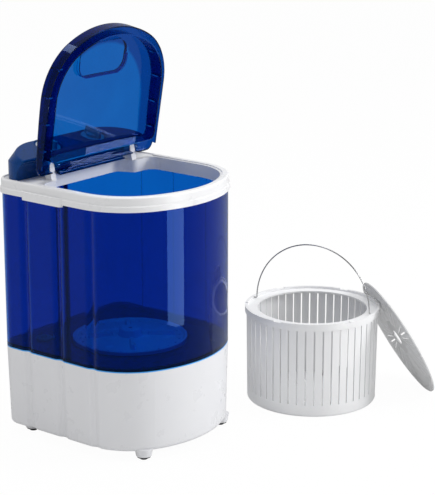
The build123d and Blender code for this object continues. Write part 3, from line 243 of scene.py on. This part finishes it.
def begin_finish(name, **plain):
    """A material, its node tree, its shader with plain values set on its sockets, and Object coordinates."""
    finish = bpy.data.materials.new(name)
    finish.use_nodes = True
    tree = finish.node_tree
    shader = tree.nodes["Principled BSDF"]
    for label, value in plain.items():
        shader.inputs[label.replace("_", " ")].default_value = value
    place = tree.nodes.new("ShaderNodeTexCoord").outputs["Object"]
    return finish, tree, shader, place


def bump_into(tree, shader, height, strength, distance):
    """Feeds a height into the shader's normal; distance is the real depth in metres."""
    bump = tree.nodes.new("ShaderNodeBump")
    bump.inputs["Strength"].default_value = strength
    bump.inputs["Distance"].default_value = distance
    tree.links.new(height, bump.inputs["Height"])
    tree.links.new(bump.outputs["Normal"], shader.inputs["Normal"])


def opaque_plastic(name, colour, drift, gloss, dust=0.03, scuffs=0.08, painted_glow_edge=None):
    """Moulded opaque plastic with grain, drifting colour, faint scuffs and a breath of dust. Where a height and a
    colour are given for the seam, the last 2 mm below that height take that colour: painted light, the light blue
    glow that the clear plastic above throws on the base's top rim."""
    finish, tree, shader, place = begin_finish(name, IOR=1.5, Specular_IOR_Level=0.5)
    skin = place_group(tree, MOULDED_SKIN, place, Grain_Share=0.3, Gloss_Low=gloss[0], Gloss_High=gloss[1])
    tone = place_group(tree, COLOUR_DRIFT, place, Colour=colour, Drift_Colour=drift)
    scuff = place_group(tree, RUB_MARKS, place, Spread=scuffs)
    dusty = place_group(tree, SETTLED_DUST, place, Amount=dust)
    coated = blended(tree, dusty.outputs["Mask"], tone.outputs["Colour"], DUST)
    # Painted light: the top 2 mm below the seam height turn light blue, for the glow from the clear plastic above.
    if painted_glow_edge is not None:
        split = tree.nodes.new("ShaderNodeSeparateXYZ")
        tree.links.new(place, split.inputs["Vector"])
        near = span(tree, split.outputs["Z"], painted_glow_edge[0] - EDGE_BAND - EDGE_FADE, painted_glow_edge[0] - EDGE_BAND, 0.0, 1.0)
        coated = blended(tree, near, coated, painted_glow_edge[1])
    tree.links.new(coated, shader.inputs["Base Color"])
    rough = sums(tree, "ADD", skin.outputs["Roughness"], sums(tree, "MULTIPLY", scuff.outputs["Mask"], 0.04))
    rough = sums(tree, "ADD", rough, sums(tree, "MULTIPLY", dusty.outputs["Mask"], 0.5))
    tree.links.new(rough, shader.inputs["Roughness"])
    bump_into(tree, shader, skin.outputs["Height"], strength=0.35, distance=0.008 * MM)
    return finish


def clear_plastic(name, colour, deep, gloss, see_through=1.0, level=0.3, sheen_tint=PALE_BLUE, arch=None):
    """Dyed clear plastic: light passes and takes the dye's colour; gloss ripples slowly. Where arch gives a
    height, a radius and a colour, that colour lies outside an arch of that radius, round at the top above
    that height and straight below it: painted shade, a darker band along the lid's rim and skirt where light
    crosses more layers of plastic."""
    finish, tree, shader, place = begin_finish(
        name, IOR=1.49, Transmission_Weight=see_through, Specular_IOR_Level=level, Specular_Tint=sheen_tint
    )
    skin = place_group(
        tree, MOULDED_SKIN, place, Grain_Share=0.02, Ripple_Scale=9.0, Gloss_Low=gloss[0], Gloss_High=gloss[1]
    )
    tone = place_group(tree, COLOUR_DRIFT, place, Colour=colour, Drift_Colour=deep, Scale=5.0)
    scuff = place_group(tree, RUB_MARKS, place, Spread=0.08)
    shade = tone.outputs["Colour"]
    # Painted shade: the darker colour outside the arch shades the band along the lid's rim.
    if arch is not None:
        split = tree.nodes.new("ShaderNodeSeparateXYZ")
        tree.links.new(place, split.inputs["Vector"])
        rise = sums(tree, "MAXIMUM", sums(tree, "SUBTRACT", split.outputs["Z"], arch[0]), 0.0)
        squares = sums(
            tree, "ADD", sums(tree, "POWER", rise, 2.0), sums(tree, "POWER", split.outputs["X"], 2.0)
        )
        beyond = span(tree, sums(tree, "POWER", squares, 0.5), arch[1], arch[1] + ARCH_FADE, 0.0, 1.0)
        shade = blended(tree, beyond, shade, arch[2])
    tree.links.new(shade, shader.inputs["Base Color"])
    rough = sums(tree, "ADD", skin.outputs["Roughness"], sums(tree, "MULTIPLY", scuff.outputs["Mask"], 0.06))
    tree.links.new(rough, shader.inputs["Roughness"])
    bump_into(tree, shader, skin.outputs["Height"], strength=0.25, distance=0.2 * MM)
    return finish


def bare_metal(name, colour, tarnish, gloss):
    """Metal with fine lines from its making, and a tarnish that drifts over it."""
    finish, tree, shader, place = begin_finish(name, Metallic=1.0)
    tone = place_group(
        tree, COLOUR_DRIFT, place, Colour=colour, Drift_Colour=tarnish, Scale=60.0, Amount=0.7
    )
    scuff = place_group(tree, RUB_MARKS, place, Spread=0.7)
    skin = place_group(
        tree, MOULDED_SKIN, place, Grain_Scale=5200.0, Grain_Share=0.8, Ripple_Scale=90.0,
        Gloss_Low=gloss[0], Gloss_High=gloss[1],
    )
    tree.links.new(tone.outputs["Colour"], shader.inputs["Base Color"])
    rough = sums(tree, "ADD", skin.outputs["Roughness"], sums(tree, "MULTIPLY", scuff.outputs["Mask"], 0.2))
    tree.links.new(rough, shader.inputs["Roughness"])
    bump_into(tree, shader, skin.outputs["Height"], strength=0.3, distance=0.01 * MM)
    return finish


def soft_rubber(name, colour, bloom):
    """Matt rubber with a pale bloom in patches and a dry, fine grain."""
    finish, tree, shader, place = begin_finish(name, IOR=1.52, Specular_IOR_Level=0.3)
    tone = place_group(
        tree, COLOUR_DRIFT, place, Colour=colour, Drift_Colour=bloom, Scale=70.0, Amount=0.8
    )
    skin = place_group(
        tree, MOULDED_SKIN, place, Grain_Scale=2600.0, Grain_Share=1.0, Gloss_Low=0.6, Gloss_High=0.82
    )
    dusty = place_group(tree, SETTLED_DUST, place, Amount=0.3)
    coated = blended(tree, dusty.outputs["Mask"], tone.outputs["Colour"], DUST_ON_RUBBER)
    tree.links.new(coated, shader.inputs["Base Color"])
    tree.links.new(skin.outputs["Roughness"], shader.inputs["Roughness"])
    bump_into(tree, shader, skin.outputs["Height"], strength=0.5, distance=0.03 * MM)
    return finish


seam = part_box("base_housing")[1].z
lid_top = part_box("lid")[1]
TUB_CLEAR = clear_plastic(
    "clear_blue_tub", (0.002, 0.1, 0.46, 1.0), (0.002, 0.082, 0.41, 1.0), (0.0, 0.03), level=0.22
)
LID_CLEAR = clear_plastic(
    "clear_blue_lid", (0.002, 0.115, 0.46, 1.0), (0.001, 0.075, 0.36, 1.0), (0.0, 0.03), level=0.2,
    arch=(lid_top.z - lid_top.x, lid_top.x - RIM_WIDTH, PAINTED_RIM_SHADE),
)
HOUSING_BLUE = clear_plastic(
    "deep_blue_housing", (0.004, 0.09, 0.36, 1.0), (0.003, 0.075, 0.31, 1.0), (0.05, 0.1),
    see_through=0.6, level=0.4, sheen_tint=(0.35, 0.58, 1.0, 1.0),
)
SHELL_WHITE = opaque_plastic("white_shell", (0.8, 0.803, 0.815, 1.0), (0.785, 0.79, 0.805, 1.0), (0.26, 0.32))
BASE_WHITE = opaque_plastic(
    "white_base", (0.74, 0.745, 0.765, 1.0), (0.725, 0.73, 0.755, 1.0), (0.26, 0.32),
    painted_glow_edge=(seam, PAINTED_SEAM_GLOW),
)
BASKET_WHITE = opaque_plastic("white_basket", (0.8, 0.803, 0.81, 1.0), (0.78, 0.785, 0.8, 1.0), (0.32, 0.4))
AGITATOR_BLUE = opaque_plastic(
    "blue_agitator", (0.55, 0.85, 1.0, 1.0), (0.5, 0.8, 0.98, 1.0), (0.18, 0.3), dust=0.02
)
DISC_GREY = opaque_plastic("pale_grey_disc", (0.6, 0.603, 0.61, 1.0), (0.56, 0.565, 0.575, 1.0), (0.38, 0.5))
KNOB_GREY = opaque_plastic("grey_knob", (0.45, 0.47, 0.5, 1.0), (0.4, 0.42, 0.46, 1.0), (0.22, 0.34))
MARK_WHITE = opaque_plastic(
    "printed_white", (0.78, 0.79, 0.8, 1.0), (0.7, 0.71, 0.72, 1.0), (0.4, 0.5), dust=0.0
)
PLATE_GREY = opaque_plastic(
    "grey_plate", (0.3, 0.31, 0.32, 1.0), (0.25, 0.26, 0.27, 1.0), (0.42, 0.55), scuffs=0.8
)
DARK_PLASTIC = opaque_plastic(
    "dark_plastic", (0.02, 0.021, 0.024, 1.0), (0.032, 0.033, 0.036, 1.0), (0.35, 0.5)
)
FOOT_RUBBER = soft_rubber("dark_rubber", (0.035, 0.035, 0.037, 1.0), (0.06, 0.06, 0.062, 1.0))
ZINC_STEEL = bare_metal("zinc_steel", (0.6, 0.61, 0.63, 1.0), (0.48, 0.49, 0.5, 1.0), (0.18, 0.34))
BRIGHT_WIRE = bare_metal("bright_wire", (0.42, 0.42, 0.43, 1.0), (0.3, 0.3, 0.31, 1.0), (0.12, 0.2))
MOTOR_METAL = bare_metal("motor_metal", (0.4, 0.41, 0.43, 1.0), (0.26, 0.27, 0.29, 1.0), (0.3, 0.5))
SINTERED_BRONZE = bare_metal("sintered_bronze", (0.55, 0.33, 0.14, 1.0), (0.36, 0.2, 0.1, 1.0), (0.3, 0.5))

SLOT_FINISHES = {
    "clear_blue": TUB_CLEAR,
    "smoke_blue": HOUSING_BLUE,
    "white_plastic": SHELL_WHITE,
    "blue_plastic": AGITATOR_BLUE,
    "grey_plastic": PLATE_GREY,
    "dark_plastic": DARK_PLASTIC,
    "rubber": FOOT_RUBBER,
    "steel": ZINC_STEEL,
    "motor_metal": MOTOR_METAL,
    "bronze": SINTERED_BRONZE,
}
NODE_FINISHES = {
    "base_housing": BASE_WHITE,
    "lid": LID_CLEAR,
    "spin_basket": BASKET_WHITE,
    "basket_disc": DISC_GREY,
    "timer_knob": KNOB_GREY,
    "selector_knob": KNOB_GREY,
    "basket_bail": BRIGHT_WIRE,
}
for entry in frame["record"]["subparts"]:
    finish = NODE_FINISHES.get(entry["node"], SLOT_FINISHES[entry["material_slot"]])
    for slot in nodes[entry["node"]].material_slots:
        slot.material = finish


# Marks on the timer and the selector, laid out about each knob's own axis

SKIRT_TOP = -2.0 * MM
GRIP_TOP = 13.0 * MM
WELL_FLOOR = -9.0 * MM
PRINT = 0.08 * MM
INDEX_REACH = 26.7 * MM
FULL_TURN = 300.0
FULL_MINUTES = 15
SETTING_TURN = 45.0
TICK_REACH = 23.0 * MM
FIVE_TICK_REACH = 22.8 * MM
NUMBER_REACH = 19.4 * MM
NUMBER_HEIGHT = 4.0 * MM
POINTER_REACH = 14.5 * MM


def dial_place(joint_name):
    """A knob's centre on the panel, then the directions right, up the slope and out of the panel."""
    joint = next(j for j in frame["joints"] if j["name"] == joint_name)
    outward = np.array(joint["axis"])
    right = np.array([1.0, 0.0, 0.0])
    return np.array(joint["pos_m"]), right, np.cross(outward, right), outward


def onto_dial(points, dial):
    """Carries points given as right, up and out to their place on the machine."""
    centre, right, up, outward = dial
    return centre + points @ np.stack([right, up, outward])


def turned_marks(outline, reach, angles):
    """Copies of a flat outline, each moved out by reach and turned clockwise from straight up."""
    turn = -np.radians(np.asarray(angles, dtype=float))[:, None]
    x, y = outline[:, 0][None, :], (outline[:, 1] + reach)[None, :]
    return np.stack([x * np.cos(turn) - y * np.sin(turn), x * np.sin(turn) + y * np.cos(turn)], axis=-1)


def bar_outline(width, length):
    """Rectangle about its own centre, corner by corner against the clock."""
    return np.array([[-width, -length], [width, -length], [width, length], [-width, length]]) / 2


def dot_outline(radius, sides=20):
    """Points at even steps round a circle."""
    steps = np.arange(sides) * 2 * math.pi / sides
    return radius * np.stack([np.cos(steps), np.sin(steps)], axis=1)


def raised_marks(name, outlines, level, dial, body):
    """Thin closed prisms: each outline at level - PRINT and again at level + PRINT, with walls between."""
    count = outlines.shape[0] * outlines.shape[1]
    sides = outlines.shape[1]
    flat = outlines.reshape(-1, 2)
    heights = np.repeat([level - PRINT, level + PRINT], count)[:, None]
    points = np.hstack([np.vstack([flat, flat]), heights])
    start = np.arange(outlines.shape[0])[:, None] * sides
    ring = np.arange(sides)[None, :]
    below = start + ring
    after = start + (ring + 1) % sides
    walls = np.stack([below, after, after + count, below + count], axis=-1).reshape(-1, 4)
    faces = below[:, ::-1].tolist() + (below + count).tolist() + walls.tolist()
    add_mark(name, onto_dial(points, dial), faces, body)


def add_mark(name, points, faces, body):
    """Puts a printed mark in the scene, on the body that carries it."""
    mesh = bpy.data.meshes.new(name)
    mesh.from_pydata(points.tolist(), [], faces)
    mesh.materials.append(MARK_WHITE)
    piece = bpy.data.objects.new(name, mesh)
    bpy.context.scene.collection.objects.link(piece)
    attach(piece, body)


def printed_number(minutes, angle, reach, height, dial, body):
    """A number of minutes: the built-in letter shapes, given a thickness, moved out and turned."""
    letters = bpy.data.curves.new("minutes", "FONT")
    letters.body = str(minutes)
    letters.size = height
    letters.extrude = PRINT
    letters.align_x = "CENTER"
    letters.align_y = "CENTER"
    letters.resolution_u = 3
    writer = bpy.data.objects.new("minutes", letters)
    bpy.context.scene.collection.objects.link(writer)
    shape = bpy.data.meshes.new_from_object(writer)
    bpy.data.objects.remove(writer)
    soup = bmesh.new()
    soup.from_mesh(shape)
    bmesh.ops.remove_doubles(soup, verts=soup.verts, dist=PRINT / 20)
    bmesh.ops.recalc_face_normals(soup, faces=soup.faces)
    soup.to_mesh(shape)
    soup.free()
    points = np.empty(len(shape.vertices) * 3)
    shape.vertices.foreach_get("co", points)
    points = points.reshape(-1, 3)
    flat = turned_marks(points[:, :2], reach, [angle])[0]
    placed = onto_dial(np.column_stack([flat, points[:, 2] + SKIRT_TOP]), dial)
    shape.vertices.foreach_set("co", placed.ravel())
    shape.update()
    shape.name = f"timer_minutes_{minutes}"
    shape.materials.clear()
    shape.materials.append(MARK_WHITE)
    piece = bpy.data.objects.new(shape.name, shape)
    bpy.context.scene.collection.objects.link(piece)
    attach(piece, body)


def mark_dials():
    """Minutes on the timer's skirt, a pointer on each grip, and index marks on the floors of the wells."""
    timer = dial_place("timer_turn")
    selector = dial_place("selector_turn")
    minute = FULL_TURN / FULL_MINUTES
    fives = np.arange(5, FULL_MINUTES + 1, 5)
    # The tail of the grip ends 0.6 mm inside the ring of ticks, and the minute at its end has no tick
    tail = round(180.0 / minute)
    ticks = np.setdiff1d(np.arange(1, FULL_MINUTES), np.append(fives, tail))
    fine = turned_marks(bar_outline(0.4 * MM, 1.4 * MM), TICK_REACH, -minute * ticks)
    raised_marks("timer_ticks", fine, SKIRT_TOP, timer, "timer")
    bold = turned_marks(bar_outline(0.8 * MM, 1.8 * MM), FIVE_TICK_REACH, -minute * fives)
    raised_marks("timer_five_ticks", bold, SKIRT_TOP, timer, "timer")
    for five in fives:
        printed_number(int(five), -minute * five, NUMBER_REACH, NUMBER_HEIGHT, timer, "timer")
    for name, dial, body in (("timer_pointer", timer, "timer"), ("selector_pointer", selector, "selector")):
        bar = turned_marks(bar_outline(1.4 * MM, 9.0 * MM), POINTER_REACH, [0.0])
        raised_marks(name, bar, GRIP_TOP, dial, body)
    index = turned_marks(bar_outline(1.2 * MM, 1.8 * MM), INDEX_REACH, [0.0])
    raised_marks("timer_index", index, WELL_FLOOR, timer, "cabinet")
    settings = turned_marks(dot_outline(0.8 * MM), INDEX_REACH, [-SETTING_TURN, 0.0, SETTING_TURN])
    raised_marks("selector_settings", settings, WELL_FLOOR, selector, "cabinet")


mark_dials()

# Backdrop, lights and camera

FLOOR_STEPS = 9
SENSOR_HEIGHT = 36.0
PICTURE_HEIGHT = 495.0
FOCAL_LENGTH = 1741.27
CAMERA_BEARING = -48.67
CAMERA_TURN = -3.01
CAMERA_TILT = 15.24
CAMERA_REACH = 3.29745
CAMERA_HEIGHT = 1.26877


def seen_directly(tree):
    """1 where a ray comes from the camera or through clear plastic, which then meet a white ground."""
    path = tree.nodes.new("ShaderNodeLightPath")
    share = sums(tree, "ADD", path.outputs["Is Camera Ray"], path.outputs["Is Transmission Ray"])
    return sums(tree, "MINIMUM", share, 1.0)


def white_world(light, mirrored):
    """World that is white to look at, lights the object at a plain level and is dim in reflections."""
    world = bpy.data.worlds.new("studio_world")
    bpy.context.scene.world = world
    world.use_nodes = True
    tree = world.node_tree
    ground = tree.nodes["Background"]
    ground.inputs["Color"].default_value = (1.0, 1.0, 1.0, 1.0)
    mirror = tree.nodes.new("ShaderNodeLightPath").outputs["Is Glossy Ray"]
    unseen = span(tree, mirror, 0.0, 1.0, light, mirrored)
    tree.links.new(span(tree, seen_directly(tree), 0.0, 1.0, unseen, 1.0), ground.inputs["Strength"])


def pale_floor(half, glow, mirrored):
    """Floor: a grid at z = 0 whose own white hides most of the shadow on it, dim in reflections."""
    steps = np.linspace(-half, half, FLOOR_STEPS)
    across, along = np.meshgrid(steps, steps, indexing="ij")
    points = np.stack([across.ravel(), along.ravel(), np.zeros(across.size)], axis=1)
    mesh = bpy.data.meshes.new("studio_floor")
    mesh.from_pydata(points.tolist(), [], grid_faces(FLOOR_STEPS).tolist())
    floor = bpy.data.objects.new("studio_floor", mesh)
    bpy.context.scene.collection.objects.link(floor)
    finish = bpy.data.materials.new("studio_floor")
    finish.use_nodes = True
    tree = finish.node_tree
    tree.nodes.remove(tree.nodes["Principled BSDF"])
    matt = tree.nodes.new("ShaderNodeBsdfDiffuse")
    matt.inputs["Color"].default_value = (0.85, 0.85, 0.85, 1.0)
    own = tree.nodes.new("ShaderNodeEmission")
    mix = tree.nodes.new("ShaderNodeMixShader")
    tree.links.new(sums(tree, "MULTIPLY", seen_directly(tree), glow), mix.inputs["Fac"])
    tree.links.new(matt.outputs[0], mix.inputs[1])
    tree.links.new(own.outputs[0], mix.inputs[2])
    dim = tree.nodes.new("ShaderNodeEmission")
    dim.inputs["Strength"].default_value = mirrored
    last = tree.nodes.new("ShaderNodeMixShader")
    path = tree.nodes.new("ShaderNodeLightPath")
    only_mirrored = sums(tree, "SUBTRACT", path.outputs["Is Glossy Ray"], path.outputs["Is Transmission Ray"])
    tree.links.new(sums(tree, "MAXIMUM", only_mirrored, 0.0), last.inputs["Fac"])
    tree.links.new(mix.outputs[0], last.inputs[1])
    tree.links.new(dim.outputs[0], last.inputs[2])
    tree.links.new(last.outputs[0], tree.nodes["Material Output"].inputs["Surface"])
    mesh.materials.append(finish)


def grid_faces(side):
    """Quads of a square grid of points, side points each way, counted row by row."""
    i, j = np.meshgrid(np.arange(side - 1), np.arange(side - 1), indexing="ij")
    corner = i * side + j
    return np.stack([corner, corner + side, corner + side + 1, corner + 1], axis=-1).reshape(-1, 4)


def soft_light(name, place, target, width, height, power, only_gloss=False):
    """Rectangular soft light at a place, turned towards a target; only_gloss makes it a mere reflection."""
    lamp = bpy.data.lights.new(name, "AREA")
    lamp.shape = "RECTANGLE"
    lamp.size = width
    lamp.size_y = height
    lamp.energy = power
    carrier = bpy.data.objects.new(name, lamp)
    carrier.location = place
    carrier.rotation_euler = (Vector(target) - Vector(place)).to_track_quat("-Z", "Y").to_euler()
    carrier.visible_camera = False
    carrier.visible_transmission = False
    carrier.visible_diffuse = not only_gloss
    bpy.context.scene.collection.objects.link(carrier)


def photo_camera():
    """Camera where the photograph was taken from: a bearing round the drive axis, a small turn, a tilt down.
    The focal length and the picture's height are in the photograph's pixels."""
    bearing = math.radians(CAMERA_BEARING)
    heading = math.radians(CAMERA_BEARING + CAMERA_TURN)
    tilt = math.radians(CAMERA_TILT)
    lens = bpy.data.cameras.new("photo_camera")
    lens.sensor_fit = "VERTICAL"
    lens.sensor_height = SENSOR_HEIGHT
    lens.lens = FOCAL_LENGTH * SENSOR_HEIGHT / PICTURE_HEIGHT
    lens.clip_end = 60.0
    camera = bpy.data.objects.new("photo_camera", lens)
    camera.location = (
        math.sin(bearing) * CAMERA_REACH, -math.cos(bearing) * CAMERA_REACH, CAMERA_HEIGHT
    )
    forward = Vector(
        (-math.sin(heading) * math.cos(tilt), math.cos(heading) * math.cos(tilt), -math.sin(tilt))
    )
    camera.rotation_euler = forward.to_track_quat("-Z", "Y").to_euler()
    bpy.context.scene.collection.objects.link(camera)
    bpy.context.scene.camera = camera


bpy.context.scene.view_settings.view_transform = "Standard"
white_world(light=0.66, mirrored=0.3)
pale_floor(half=20.0, glow=0.97, mirrored=0.4)
soft_light(
    "key_softbox", place=(2.1, -2.5, 1.7), target=(0.1, -0.1, 0.3), width=1.3, height=1.3, power=66.0
)
soft_light(
    "top_softbox", place=(0.2, 0.2, 2.8), target=(0.1, 0.0, 0.2), width=1.8, height=1.8, power=32.0
)
soft_light(
    "gloss_strip", place=(0.15, -0.96, 0.5), target=(-0.07, -0.17, 0.5), width=0.3, height=1.0, power=3.8,
    only_gloss=True,
)
photo_camera()
